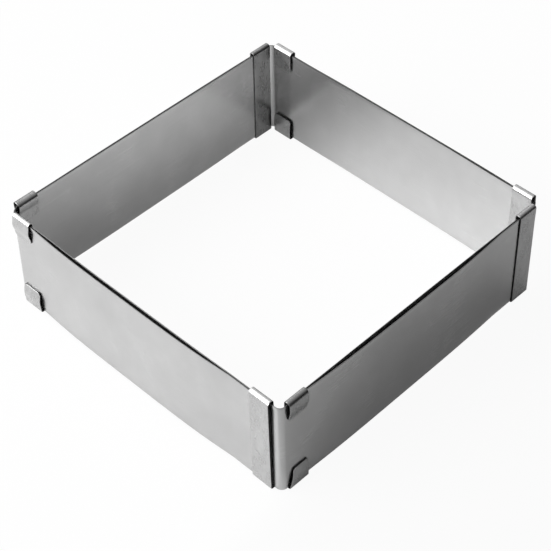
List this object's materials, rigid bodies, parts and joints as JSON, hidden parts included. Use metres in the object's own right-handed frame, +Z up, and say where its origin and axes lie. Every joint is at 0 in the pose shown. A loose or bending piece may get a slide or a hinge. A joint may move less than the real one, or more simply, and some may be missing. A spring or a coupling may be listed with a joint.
{
  "type": "adjustable cake frame",
  "caption": "Square open baking frame of bent steel sheets that overlap along the walls and slide in folded clips, so that it opens in width and in depth.",
  "frame": {"origin": "under the middle of the shut frame, on the surface that it stands on", "axes": "+Z up; +X from the front corner to the right corner, the direction of the width slide; +Y from the front corner to the left corner, the direction of the depth slides"},
  "size_m": [0.1626, 0.1626, 0.0521],
  "materials": {
    "sheet_steel": "satin cold-rolled stainless sheet, fine grain along the walls",
    "clip_steel": "satin stainless strip, grain across the walls, a little streaked"
  },
  "bodies": {
    "front_corner": {"front_sheet": "sheet_steel", "front_outer_clip": "clip_steel", "front_inner_clip": "clip_steel"},
    "right_corner": {"right_sheet": "sheet_steel", "right_outer_clip": "clip_steel", "right_inner_clip": "clip_steel"},
    "back_corner": {"back_sheet": "sheet_steel", "back_outer_clip": "clip_steel", "back_inner_clip": "clip_steel"},
    "left_corner": {"left_sheet": "sheet_steel", "left_outer_clip": "clip_steel", "left_inner_clip": "clip_steel"}
  },
  "joints": [
    {"name": "width_slide", "type": "slide", "parent": "front_corner", "child": "right_corner", "axis": [1, 0, 0], "range_m": [0, 0.13]},
    {"name": "depth_slide", "type": "slide", "parent": "right_corner", "child": "back_corner", "axis": [0, 1, 0], "range_m": [0, 0.13]},
    {"name": "left_depth_slide", "type": "slide", "parent": "front_corner", "child": "left_corner", "axis": [0, 1, 0], "range_m": [0, 0.13]}
  ],
  "couplings": [
    {"joint": "left_depth_slide", "follows": "depth_slide", "ratio": 1}
  ]
}
